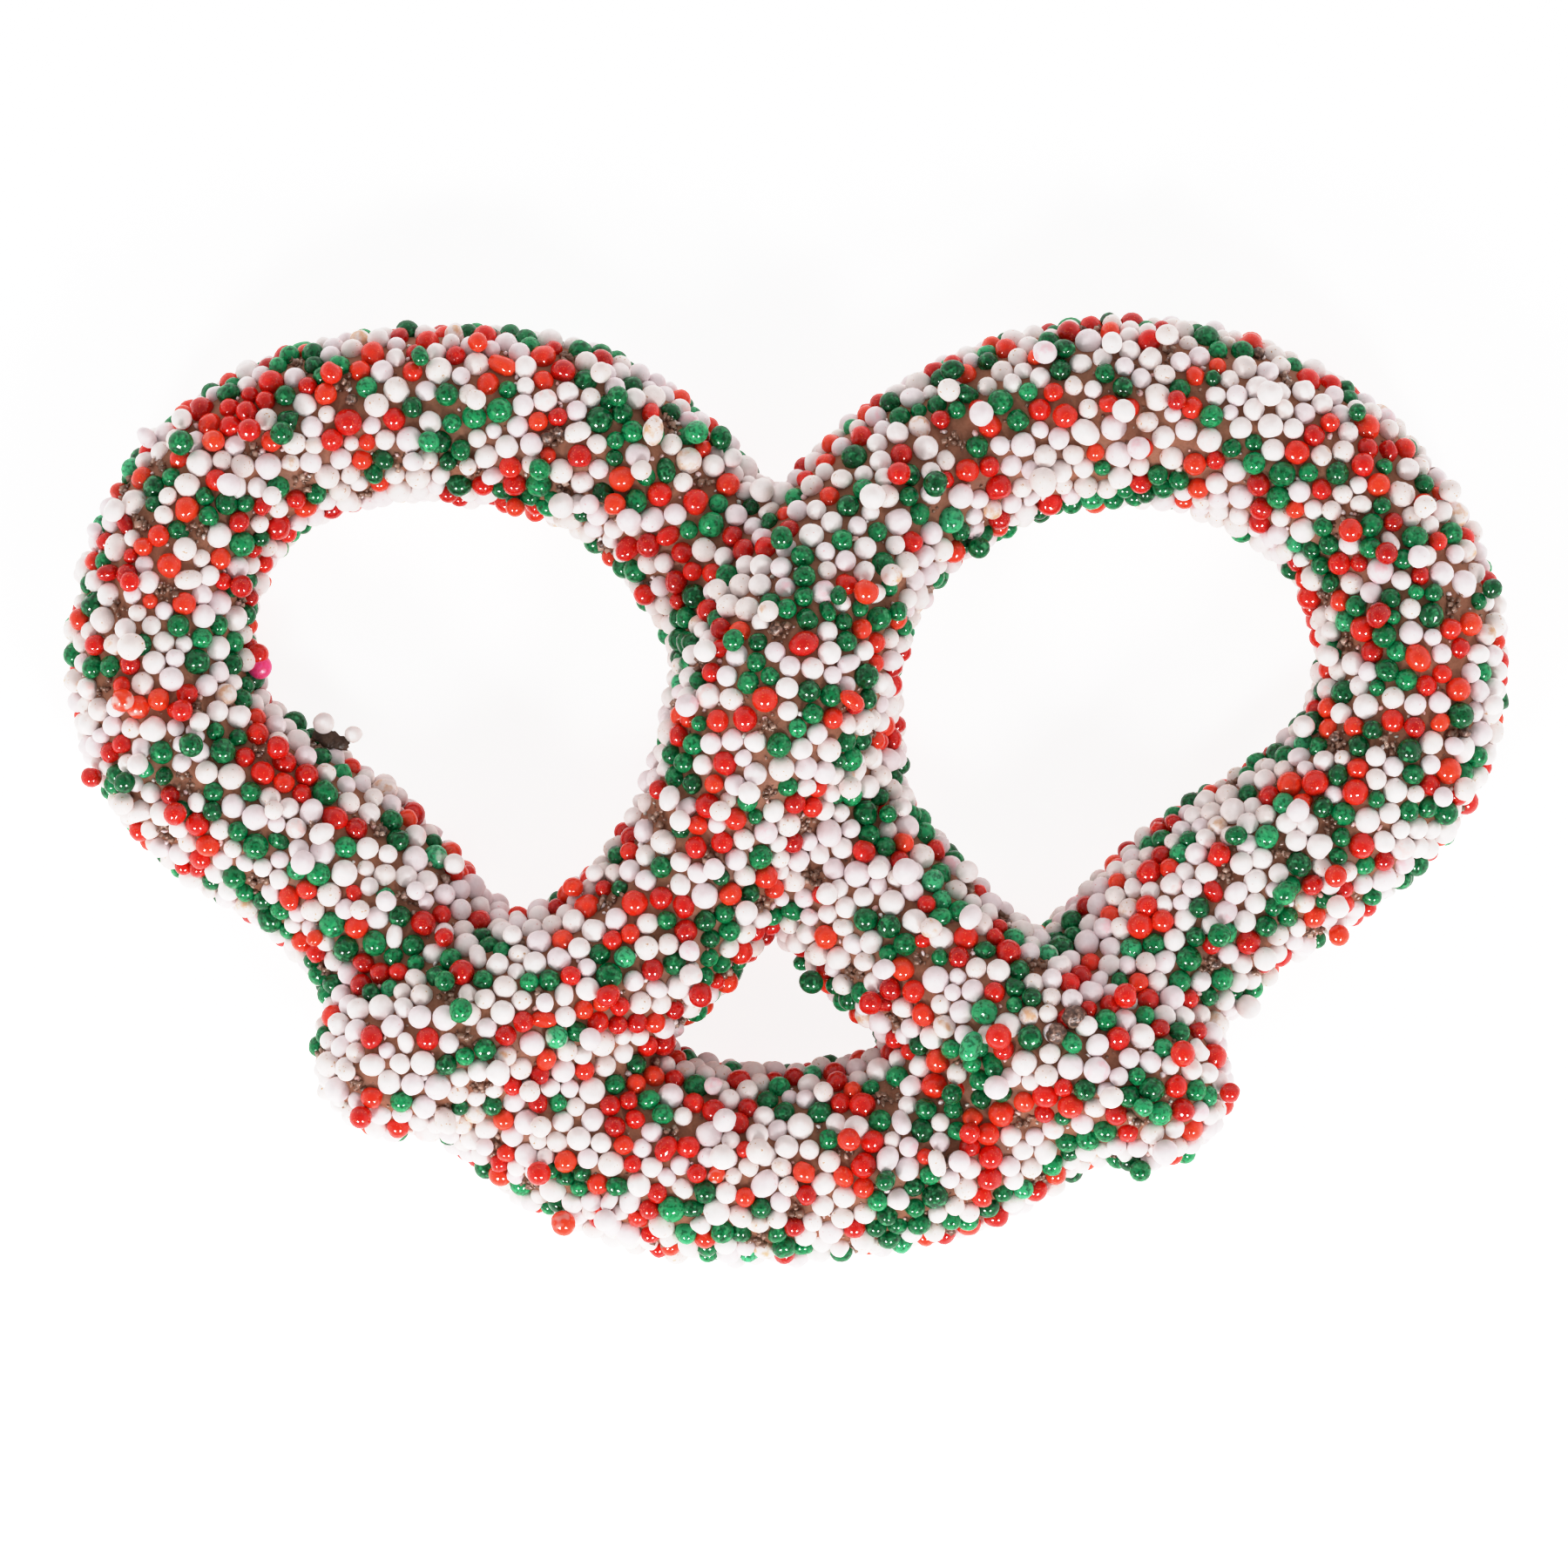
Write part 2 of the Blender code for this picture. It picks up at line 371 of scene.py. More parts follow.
def settle(skin, centres, radii, rise, held):
    """Balls that overlap push each other apart along the chocolate; the first ones held stay put."""
    free = np.ones(len(centres))
    free[:held] = 0.0
    for round_number in range(SETTLING_ROUNDS):
        reach = radii * (1 + FIRST_REACH * max(0.0, 1 - REACH_FADE * round_number / SETTLING_ROUNDS))
        i, j = close_pairs(centres, reach)
        apart = centres[j] - centres[i]
        distance = np.maximum(np.linalg.norm(apart, axis=1), 1e-9)
        push = apart * (PUSH * (reach[i] + reach[j] - distance) / distance)[:, None]
        both = np.maximum(free[i] + free[j], 1)
        np.add.at(centres, i, -push * (free[i] / both)[:, None])
        np.add.at(centres, j, push * (free[j] / both)[:, None])
        centres[held:], _ = on_skin(skin, centres[held:], radii[held:], rise[held:])
    return centres


def perch(skin, mesh, centres, radii, low, high, rng):
    """Balls that lie on the first layer: each comes down on the chocolate until it touches others.

    They stay between the corners low and high.
    """
    tree = tree_of(centres)
    wanted = round(PERCHED_SHARE * len(centres))
    points, _ = surface_points(mesh, PERCHED_TRIES * wanted, rng)
    found, sizes = [], []
    for point in points:
        foot, normal, _, _ = skin.find_nearest(point)
        radius = rng.normal(BALL_RADIUS, BALL_RADIUS_SPREAD)
        height = 0.0
        for _, j, _ in tree.find_range(foot, 4 * BALL_RADIUS):
            to = Vector(centres[j]) - foot
            along = to.dot(normal)
            aside = to.length_squared - along**2
            reach = PERCHED_SINK * (radius + radii[j])
            if aside < reach**2:
                height = max(height, along + math.sqrt(reach**2 - aside))
        centre = foot + normal * height
        rests = PERCHED_RISE[0] * radius < height < PERCHED_RISE[1] * radius
        clear = all((centre - other).length > PERCHED_APART * BALL_RADIUS for other in found)
        inside = all(low[k] < centre[k] - radius and centre[k] + radius < high[k] for k in range(3))
        faces_up = normal.z > PERCHED_UPWARD
        if rests and clear and inside and faces_up and rng.random() < 2 * normal.z - 0.2:
            found.append(centre)
            sizes.append(radius)
        if len(found) == wanted:
            break
    return np.array(found), np.array(sizes)


def fill_bare(skin, mesh, centres, radii, rng):
    """Late balls for the bare patches of the first layer, with their radii."""
    points, normals = gap_points(skin, mesh, centres, radii, BARE_ROOM, LATE_TRIES * LATE_BALLS, rng)
    found, sizes = [], []
    for point, normal in zip(points, normals):
        radius = rng.uniform(*LATE_RADIUS)
        centre = point + normal * radius * LATE_RISE
        clear = all(np.linalg.norm(centre - other) > 2 * radius for other in found)
        if clear and len(found) < LATE_BALLS:
            found.append(centre)
            sizes.append(radius)
    return np.array(found), np.array(sizes)


def cluster_places(skin, centres, radii, held, rng):
    """Indices of the balls that give way to crystals: well apart, and not among the first ones held."""
    _, normals = on_skin(skin, centres, radii, 0 * radii)
    given_up = []
    for i in rng.permutation(np.flatnonzero(normals[held:, 2] > CLUSTER_UPWARD) + held):
        clear = all(np.linalg.norm(centres[i] - centres[other]) > CLUSTER_CLEARANCE for other in given_up)
        if clear and len(given_up) < CRYSTAL_CLUSTERS:
            given_up.append(i)
    return given_up


def unit_ball(cuts):
    """Corners and triangles of an icosahedron whose faces are divided and rounded."""
    body = bmesh.new()
    bmesh.ops.create_icosphere(body, subdivisions=1, radius=1.0)
    if cuts:
        bmesh.ops.subdivide_edges(body, edges=body.edges[:], cuts=cuts, use_grid_fill=True)
    bmesh.ops.triangulate(body, faces=body.faces[:])
    corners = np.array([v.co.normalized()[:] for v in body.verts])
    faces = np.array([[v.index for v in face.verts] for face in body.faces])
    body.free()
    return corners, faces


def unit_vectors(count, rng):
    vectors = rng.normal(size=(count, 3))
    return vectors / np.linalg.norm(vectors, axis=1)[:, None]


def uneven_balls(corners, centres, radii, rng):
    """Corner places of balls that are a little out of round; some are eggs, and a few have a waist."""
    count = len(centres)
    stretch = rng.normal(1.0, ROUND_STRETCH, count)
    egg = rng.normal(0.0, ROUND_EGG, count)
    waist = np.zeros(count)
    kind = rng.random(count)
    long = kind < EGG_SHARE
    twin = kind < TWIN_SHARE
    stretch[long] = rng.uniform(*EGG_STRETCH, long.sum())
    egg[long] = rng.uniform(*EGG_THICKER, long.sum())
    stretch[twin] = rng.uniform(*TWIN_STRETCH, twin.sum())
    egg[twin] = rng.uniform(*TWIN_THICKER, twin.sum())
    waist[twin] = rng.uniform(*TWIN_WAIST, twin.sum())
    radii = radii / np.cbrt(stretch)
    axis = unit_vectors(count, rng)
    along = axis @ corners.T
    shape = np.repeat(corners[None], count, axis=0)
    line = along[:, :, None] * axis[:, None, :]
    narrow = 1 - waist[:, None] * (1 - along**2) ** 2
    shape = line * stretch[:, None, None] + (shape - line) * narrow[:, :, None]
    shape *= (1 + egg[:, None] * along)[:, :, None]
    for _ in range(FLAT_SPOTS):
        facing = unit_vectors(count, rng) @ corners.T
        depth = FLAT_DEPTH * rng.random(count) ** 2
        cut = (1 - depth)[:, None] / np.maximum(facing, 0.01)
        pressed = np.minimum(1.0, 1 - FLAT_PULL + FLAT_PULL * cut)
        shape *= np.where(facing > FLAT_FACING, pressed, 1.0)[:, :, None]
    places = centres[:, None, :] + shape * radii[:, None, None]
    places[:, :, 2] = np.maximum(places[:, :, 2], 0.0)
    return places


def joined_mesh(name, places, faces, tint):
    """One mesh of many like bodies: places is bodies x corners x 3, and tint is a number for each body."""
    bodies, corners = places.shape[:2]
    index = (faces[None] + corners * np.arange(bodies)[:, None, None]).reshape(-1).astype(np.int32)
    mesh = bpy.data.meshes.new(name)
    mesh.vertices.add(bodies * corners)
    mesh.vertices.foreach_set("co", places.reshape(-1).astype(np.float32))
    mesh.loops.add(len(index))
    mesh.loops.foreach_set("vertex_index", index)
    mesh.polygons.add(len(index) // 3)
    mesh.polygons.foreach_set("loop_start", np.arange(0, len(index), 3, dtype=np.int32))
    mesh.update(calc_edges=True)
    attribute = mesh.attributes.new("tint", "FLOAT", "POINT")
    attribute.data.foreach_set("value", np.repeat(tint, corners).astype(np.float32))
    return mesh


def add_piece(name, mesh, material, smooth=True):
    if smooth:
        mesh.shade_smooth()
    mesh.materials.clear()
    mesh.materials.append(material)
    piece = bpy.data.objects.new(name, mesh)
    bpy.context.collection.objects.link(piece)
    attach(piece, "root")


def add_balls(centres, radii, rng):
    """The nonpareils, one piece for each kind, with the stray ones."""
    corners, faces = unit_ball(BALL_CUTS)
    names = list(KIND_SHARES)
    kinds = rng.choice(len(names), size=len(centres), p=list(KIND_SHARES.values()))
    for name, places in (("white", STRAY_WHITES), ("red", STRAY_REDS)):
        stray = np.array(places) * MM
        centres = np.vstack([centres, stray[:, :3]])
        radii = np.concatenate([radii, stray[:, 3]])
        kinds = np.concatenate([kinds, [names.index(name)] * len(stray)])
    makers = {
        "white": white_sugar,
        "lilac": lilac_sugar,
        "cream": cream_sugar,
        "red": red_sugar,
        "green": green_sugar,
    }
    for k, name in enumerate(names):
        own = kinds == k
        places = uneven_balls(corners, centres[own], radii[own], rng)
        mesh = joined_mesh(f"nonpareils_{name}", places, faces, rng.random(own.sum()))
        add_piece(mesh.name, mesh, makers[name]())


def gap_points(skin, mesh, centres, radii, room, count, rng):
    """Points on the chocolate, with its outward directions, that are at least room away from every ball."""
    tree = tree_of(centres)
    points, _ = surface_points(mesh, GAP_TRIES, rng)
    found, normals = [], []
    for point in points:
        near = tree.find_n(point, NEIGHBOURS)
        if all(distance - radii[j] > room for _, j, distance in near) and point[2] > 2 * FOOT_LEVEL:
            foot, normal, _, _ = skin.find_nearest(point)
            found.append(foot[:])
            normals.append(normal[:])
        if len(found) == count:
            break
    return np.array(found), np.array(normals)


def unit_block():
    """Corners and triangles of a block with its corners on a ball of radius 1."""
    body = bmesh.new()
    bmesh.ops.create_cube(body, size=2 / math.sqrt(3))
    bmesh.ops.triangulate(body, faces=body.faces[:])
    corners = np.array([v.co[:] for v in body.verts])
    faces = np.array([[v.index for v in face.verts] for face in body.faces])
    body.free()
    return corners, faces


def rough_bits(corners, centres, radii, rng):
    """Corner places of small broken bits, uneven in every way."""
    count = len(centres)
    scale = rng.uniform(0.55, 1.35, (count, 1, 3))
    jag = rng.uniform(0.72, 1.15, (count, len(corners), 1))
    turn = np.linalg.qr(rng.normal(size=(count, 3, 3)))[0]
    shape = (corners[None] * scale * jag) @ turn
    return centres[:, None, :] + shape * radii[:, None, None]


def add_gap_fillers(skin, mesh, centres, radii, clusters, rng):
    """Sugar bits broken off the balls, brown chips, and clusters of clear crystals on the bare chocolate."""
    points, normals = gap_points(skin, mesh, centres, radii, SUGAR_BIT_ROOM, SUGAR_BITS, rng)
    sizes = rng.uniform(*SUGAR_BIT_RADIUS, len(points))
    corners, faces = unit_ball(0)
    places = rough_bits(corners, points + normals * sizes[:, None] * 0.5, sizes, rng)
    bits = joined_mesh("sugar_bits", places, faces, rng.random(len(points)))
    add_piece("sugar_bits", bits, sugar_bit_sugar(), smooth=False)

    points, normals = gap_points(skin, mesh, centres, radii, CHIP_ROOM, CHIPS, rng)
    sizes = rng.uniform(*CHIP_RADIUS, len(points))
    for x, y, radius in LARGE_CHIPS:
        foot, normal, _, _ = skin.find_nearest(Vector((x, y, 30)) * MM)
        points = np.vstack([points, foot[:]])
        normals = np.vstack([normals, normal[:]])
        sizes = np.append(sizes, radius * MM)
    corners, faces = unit_ball(2)
    places = uneven_balls(corners, points + normals * sizes[:, None] * 0.5, sizes, rng)
    places += rng.normal(size=places.shape) * sizes[:, None, None] * CHIP_ROUGHNESS
    chips = joined_mesh("brown_chips", places, faces, rng.random(len(points)))
    add_piece("brown_chips", chips, brown_sugar())

    each = rng.integers(*CRYSTALS_EACH, len(clusters))
    middles = np.repeat(clusters, each, axis=0) + rng.normal(size=(each.sum(), 3)) * CLUSTER_RADIUS * 0.5
    sizes = rng.uniform(*CRYSTAL_RADIUS, len(middles))
    middles, _ = on_skin(skin, middles, sizes, sizes * rng.uniform(0.2, 1.3, len(middles)))
    points, normals = gap_points(skin, mesh, centres, radii, LOOSE_ROOM, LOOSE_CRYSTALS, rng)
    loose = rng.uniform(*LOOSE_RADIUS, len(points))
    middles = np.vstack([middles, points + normals * loose[:, None] * 0.3])
    sizes = np.concatenate([sizes, loose])
    corners, faces = unit_block()
    places = rough_bits(corners, middles, sizes, rng)
    crystals = joined_mesh("clear_crystals", places, faces, rng.random(len(middles)))
    add_piece("clear_crystals", crystals, crystal_sugar(), smooth=False)


def flake_mesh(name, start, end, width, up, rng):
    """An uneven bent flake of chocolate from start to end."""
    along = Vector(end) - Vector(start)
    across = along.cross(up).normalized() * width
    thick = across.cross(along).normalized() * FLAKE_HALF_THICKNESS
    steps, rows = 9, 5
    top, bottom = [], []
    for i in range(steps + 1):
        share = i / steps
        taper = math.sin(math.pi * (0.16 + 0.68 * share)) * rng.uniform(0.75, 1.1)
        sag = Vector(up) * FLAKE_SAG * math.sin(math.pi * share)
        for j in range(rows + 1):
            aside = (j / rows - 0.5) * taper
            place = Vector(start) + along * (share + rng.uniform(-0.03, 0.03)) + across * aside + sag
            lump = 1 + rng.uniform(-0.5, 0.5)
            edge = 0.35 if j in (0, rows) or i in (0, steps) else 1.0
            top.append(place + thick * lump * edge)
            bottom.append(place - thick * edge)
    body = bmesh.new()
    corners = [body.verts.new(place) for place in top + bottom]
    half = len(top)

    def at(i, j, side):
        return corners[i * (rows + 1) + j + side * half]

    for i in range(steps):
        for j in range(rows):
            body.faces.new((at(i, j, 0), at(i + 1, j, 0), at(i + 1, j + 1, 0), at(i, j + 1, 0)))
            body.faces.new((at(i, j, 1), at(i, j + 1, 1), at(i + 1, j + 1, 1), at(i + 1, j, 1)))
        for j in (0, rows):
            body.faces.new((at(i, j, 0), at(i, j, 1), at(i + 1, j, 1), at(i + 1, j, 0)))
    for j in range(rows):
        for i in (0, steps):
            body.faces.new((at(i, j, 0), at(i, j + 1, 0), at(i, j + 1, 1), at(i, j, 1)))
    bmesh.ops.recalc_face_normals(body, faces=body.faces[:])
    mesh = bpy.data.meshes.new(name)
    body.to_mesh(mesh)
    body.free()
    return mesh


def add_strays(rng):
    """A flake of dark chocolate that sticks out into the left loop, and a pink ball near it."""
    start, end = (Vector(place) * MM for place in STRAY_FLAKE)
    mesh = flake_mesh("stray_flake", start, end, FLAKE_WIDTH, (0, 0, 1), random.Random(SEED))
    add_piece("stray_flake", mesh, dark_chocolate())
    pink = np.array([PINK_BALL]) * MM
    corners, faces = unit_ball(BALL_CUTS)
    places = uneven_balls(corners, pink[:, :3], pink[:, 3], rng)
    add_piece("pink_ball", joined_mesh("pink_ball", places, faces, np.zeros(1)), pink_sugar())


class Shader:
    """A material's nodes, with short ways to add and join them."""

    def __init__(self, name, values):
        self.material = bpy.data.materials.new(name)
        self.material.use_nodes = True
        self.tree = self.material.node_tree
        self.bsdf = self.tree.nodes["Principled BSDF"]
        for key, value in values.items():
            self.bsdf.inputs[key].default_value = value
        self.place = self.node("ShaderNodeTexCoord").outputs["Object"]
        attribute = self.node("ShaderNodeAttribute")
        attribute.attribute_name = "tint"
        self.tint = attribute.outputs["Fac"]

    def node(self, kind):
        return self.tree.nodes.new(kind)

    def join(self, source, target):
        self.tree.links.new(source, target)

    def noise(self, size, detail=2.0):
        """Noise whose features are about size metres across."""
        node = self.node("ShaderNodeTexNoise")
        node.inputs["Scale"].default_value = 1 / size
        node.inputs["Detail"].default_value = detail
        self.join(self.place, node.inputs["Vector"])
        return node.outputs["Fac"]

    def ramp(self, value, stops):
        node = self.node("ShaderNodeValToRGB")
        elements = node.color_ramp.elements
        while len(elements) < len(stops):
            elements.new(0.5)
        for element, (position, colour) in zip(elements, stops):
            element.position = position
            element.color = colour
        self.join(value, node.inputs["Fac"])
        return node.outputs["Color"]

    def mask(self, value, low, high, most=1.0):
        """0 where the value is under low, and most where it is over high."""
        return self.ramp(value, [(low, (0, 0, 0, 1)), (high, (most, most, most, 1))])

    def mix(self, factor, first, second, blend="MIX"):
        """Either colour may be a socket or four numbers; factor may be a socket or a number."""
        node = self.node("ShaderNodeMix")
        node.data_type = "RGBA"
        node.blend_type = blend
        for socket, value in ((node.inputs[0], factor), (node.inputs[6], first), (node.inputs[7], second)):
            if isinstance(value, bpy.types.NodeSocket):
                self.join(value, socket)
            else:
                socket.default_value = value
        return node.outputs[2]

    def bump(self, height, distance, strength=1.0):
        node = self.node("ShaderNodeBump")
        node.inputs["Distance"].default_value = distance
        node.inputs["Strength"].default_value = strength
        self.join(height, node.inputs["Height"])
        if self.bsdf.inputs["Normal"].is_linked:
            self.join(self.bsdf.inputs["Normal"].links[0].from_socket, node.inputs["Normal"])
        self.join(node.outputs["Normal"], self.bsdf.inputs["Normal"])

    def colour(self, socket):
        self.join(socket, self.bsdf.inputs["Base Color"])

    def roughness(self, value, low, high):
        node = self.node("ShaderNodeMapRange")
        node.inputs["To Min"].default_value = low
        node.inputs["To Max"].default_value = high
        self.join(value, node.inputs["Value"])
        self.join(node.outputs["Result"], self.bsdf.inputs["Roughness"])


def matte_sugar(name, light, dark, speck, speck_share, stain, stained_from):
    """A matte sugar shell: two tints, faint clouds, a few specks, and a stain on balls above a tint."""
    values = {"Roughness": 0.6, "Specular IOR Level": 0.15, "Sheen Weight": 0.22, "Sheen Roughness": 0.28}
    shader = Shader(name, values)
    tint = shader.ramp(shader.tint, [(0.0, light), (1.0, dark)])
    clouds = shader.ramp(shader.noise(0.55 * MM), [(0.35, (0.93, 0.92, 0.92, 1)), (0.65, (1, 1, 1, 1))])
    base = shader.mix(1.0, tint, clouds, "MULTIPLY")
    where = shader.mask(shader.noise(0.22 * MM, detail=1.0), 1 - speck_share - 0.03, 1 - speck_share)
    few = shader.mask(shader.tint, stained_from, stained_from + 0.01)
    patch = shader.mask(shader.noise(0.8 * MM, detail=3.0), 0.50, 0.66, 0.85)
    stains = shader.mix(1.0, few, patch, "MULTIPLY")
    shader.colour(shader.mix(stains, shader.mix(where, base, speck), stain))
    shader.bump(shader.noise(0.12 * MM, detail=3.0), 0.03 * MM, 0.5)
    return shader.material


def white_sugar():
    light, dark = (0.91, 0.84, 0.825, 1), (0.87, 0.79, 0.78, 1)
    return matte_sugar("white_sugar", light, dark, (0.75, 0.55, 0.52, 1), 0.24, (0.86, 0.58, 0.55, 1), 0.96)


def lilac_sugar():
    light, dark = (0.88, 0.79, 0.80, 1), (0.84, 0.73, 0.75, 1)
    return matte_sugar("lilac_sugar", light, dark, (0.80, 0.50, 0.52, 1), 0.24, (0.85, 0.54, 0.58, 1), 0.94)


def cream_sugar():
    light, dark = (0.88, 0.80, 0.775, 1), (0.82, 0.72, 0.695, 1)
    return matte_sugar("cream_sugar", light, dark, (0.62, 0.40, 0.26, 1), 0.28, (0.66, 0.36, 0.19, 1), 0.86)


def broken(shader):
    """Where the colour has rubbed off the few balls of the highest tint."""
    few = shader.mask(shader.tint, 0.9945, 0.9965)
    patch = shader.mask(shader.noise(0.9 * MM, detail=1.0), 0.53, 0.64, 0.6)
    return shader.mix(1.0, few, patch, "MULTIPLY")


def red_sugar():
    """A glossy red shell with clouds and orange freckles."""
    shader = Shader("red_sugar", {"Coat Weight": 0.9, "Coat Roughness": 0.05, "Specular IOR Level": 0.0})
    tint = shader.ramp(
        shader.tint,
        [
            (0.0, (0.50, 0.004, 0.003, 1)),
            (0.5, (0.74, 0.012, 0.005, 1)),
            (1.0, (0.90, 0.060, 0.016, 1)),
        ],
    )
    clouds = shader.ramp(shader.noise(0.5 * MM), [(0.3, (0.82, 0.75, 0.75, 1)), (0.7, (1, 1, 1, 1))])
    base = shader.mix(1.0, tint, clouds, "MULTIPLY")
    freckles = shader.mask(shader.noise(0.13 * MM, detail=1.0), 0.62, 0.72, 0.55)
    freckled = shader.mix(freckles, base, (0.90, 0.16, 0.05, 1))
    shader.colour(shader.mix(broken(shader), freckled, BARE_SUGAR))
    shader.roughness(shader.noise(0.3 * MM), 0.12, 0.34)
    shader.bump(shader.noise(0.30 * MM, detail=2.0), 0.03 * MM, 0.5)
    return shader.material


def green_sugar():
    """A glossy green shell, mottled with dark and light spots."""
    shader = Shader("green_sugar", {"Coat Weight": 0.7, "Coat Roughness": 0.05, "Specular IOR Level": 0.0})
    tint = shader.ramp(
        shader.tint,
        [
            (0.0, (0.001, 0.085, 0.022, 1)),
            (0.6, (0.002, 0.190, 0.055, 1)),
            (0.9, (0.010, 0.300, 0.100, 1)),
            (1.0, (0.050, 0.420, 0.190, 1)),
        ],
    )
    spots = shader.noise(0.26 * MM, detail=1.0)
    dark = shader.ramp(spots, [(0.36, (0.34, 0.40, 0.37, 1)), (0.52, (1, 1, 1, 1))])
    base = shader.mix(1.0, tint, dark, "MULTIPLY")
    light = shader.mask(shader.noise(0.36 * MM, detail=1.0), 0.54, 0.76, 0.45)
    mottled = shader.mix(light, base, (0.09, 0.62, 0.25, 1))
    shader.colour(shader.mix(broken(shader), mottled, BARE_SUGAR))
    shader.roughness(shader.noise(0.25 * MM), 0.10, 0.30)
    shader.bump(shader.noise(0.4 * MM, detail=1.0), 0.02 * MM, 0.5)
    return shader.material


def brown_sugar():
    """Rough brown chips whose colour follows their bump: painted shade darkens the bump's hollows, and
    painted light lightens its raised parts.
    """
    shader = Shader("brown_sugar", {})
    spots = shader.noise(0.28 * MM, detail=3.0)
    # The ramp on the bump's own noise is painted shade in the hollows and painted light on the raised parts.
    shader.colour(
        shader.ramp(
            spots,
            [
                (0.35, (0.045, 0.018, 0.012, 1)),
                (0.52, (0.15, 0.070, 0.046, 1)),
                (0.68, (0.42, 0.26, 0.20, 1)),
            ],
        )
    )
    shader.roughness(shader.noise(0.15 * MM), 0.12, 0.55)
    shader.bump(spots, 0.10 * MM)
    return shader.material


def sugar_bit_sugar():
    shader = Shader("sugar_bit_sugar", {"Roughness": 0.45})
    shader.colour(
        shader.ramp(
            shader.tint,
            [
                (0.0, (0.86, 0.80, 0.79, 1)),
                (0.55, (0.80, 0.62, 0.62, 1)),
                (0.8, (0.72, 0.42, 0.38, 1)),
                (1.0, (0.55, 0.62, 0.56, 1)),
            ],
        )
    )
    shader.bump(shader.noise(0.08 * MM), 0.02 * MM)
    return shader.material


def pink_sugar():
    shader = Shader("pink_sugar", {"Roughness": 0.35, "Subsurface Weight": 0.2, "Subsurface Scale": 0.0005})
    shader.colour(
        shader.ramp(shader.noise(0.3 * MM), [(0.3, (0.86, 0.02, 0.16, 1)), (0.7, (0.93, 0.07, 0.28, 1))])
    )
    shader.bump(shader.noise(0.15 * MM), 0.03 * MM)
    return shader.material


def dark_chocolate():
    """A broken flake, nearly black brown."""
    shader = Shader("dark_chocolate", {"Specular IOR Level": 0.15})
    clouds = shader.noise(0.4 * MM)
    shader.colour(shader.ramp(clouds, [(0.3, (0.050, 0.028, 0.020, 1)), (0.7, (0.120, 0.070, 0.050, 1))]))
    shader.roughness(shader.noise(0.2 * MM), 0.15, 0.5)
    shader.bump(shader.noise(0.2 * MM, detail=3.0), 0.06 * MM)
    return shader.material


def crystal_sugar():
    """Clear, faintly brown crystals that sparkle."""
    values = {"Roughness": 0.28, "Transmission Weight": 0.2, "Specular IOR Level": 0.35}
    shader = Shader("crystal_sugar", values)
    shader.colour(
        shader.ramp(
            shader.tint,
            [
                (0.0, (0.20, 0.09, 0.055, 1)),
                (0.8, (0.40, 0.23, 0.16, 1)),
                (1.0, (0.66, 0.47, 0.38, 1)),
            ],
        )
    )
    shader.bump(shader.noise(0.1 * MM), 0.02 * MM, 0.5)
    return shader.material


def milk_chocolate():
    """Satin milk chocolate: faint clouds, a fine grain and soft hollows."""
    shader = Shader("milk_chocolate", {"Specular IOR Level": 0.08})
    clouds = shader.noise(2.2 * MM, detail=3.0)
    clouded = shader.ramp(clouds, [(0.3, (0.285, 0.120, 0.070, 1)), (0.7, (0.375, 0.170, 0.105, 1))])
    grain = shader.noise(0.18 * MM)
    grained = shader.ramp(grain, [(0.3, (0.86, 0.84, 0.82, 1)), (0.6, (1, 1, 1, 1))])
    shader.colour(shader.mix(1.0, clouded, grained, "MULTIPLY"))
    shader.roughness(shader.noise(0.7 * MM), 0.40, 0.58)
    shader.bump(shader.noise(0.9 * MM, detail=2.0), 0.12 * MM, 0.6)
    shader.bump(shader.noise(0.14 * MM, detail=2.0), 0.02 * MM, 0.5)
    return shader.material


def flat_foot(coat):
    """Presses what is below the foot level up to it, as the tray did while the chocolate set."""
    places, _ = triangle_arrays(coat.data)
    places[:, 2] = np.maximum(places[:, 2], FOOT_LEVEL)
    coat.data.vertices.foreach_set("co", places.astype(np.float32).ravel())
    coat.data.update()


def add_stage():
    floor_mesh = bpy.data.meshes.new("floor")
    body = bmesh.new()
    bmesh.ops.create_grid(body, x_segments=1, y_segments=1, size=FLOOR_REACH)
    body.to_mesh(floor_mesh)
    body.free()
    floor = bpy.data.objects.new("floor", floor_mesh)
    values = {
        "Roughness": 0.7,
        "Base Color": (0.9, 0.9, 0.9, 1),
        "Emission Color": (1, 1, 1, 1),
        "Emission Strength": FLOOR_GLOW,
    }
    floor_mesh.materials.append(Shader("floor", values).material)
    bpy.context.collection.objects.link(floor)


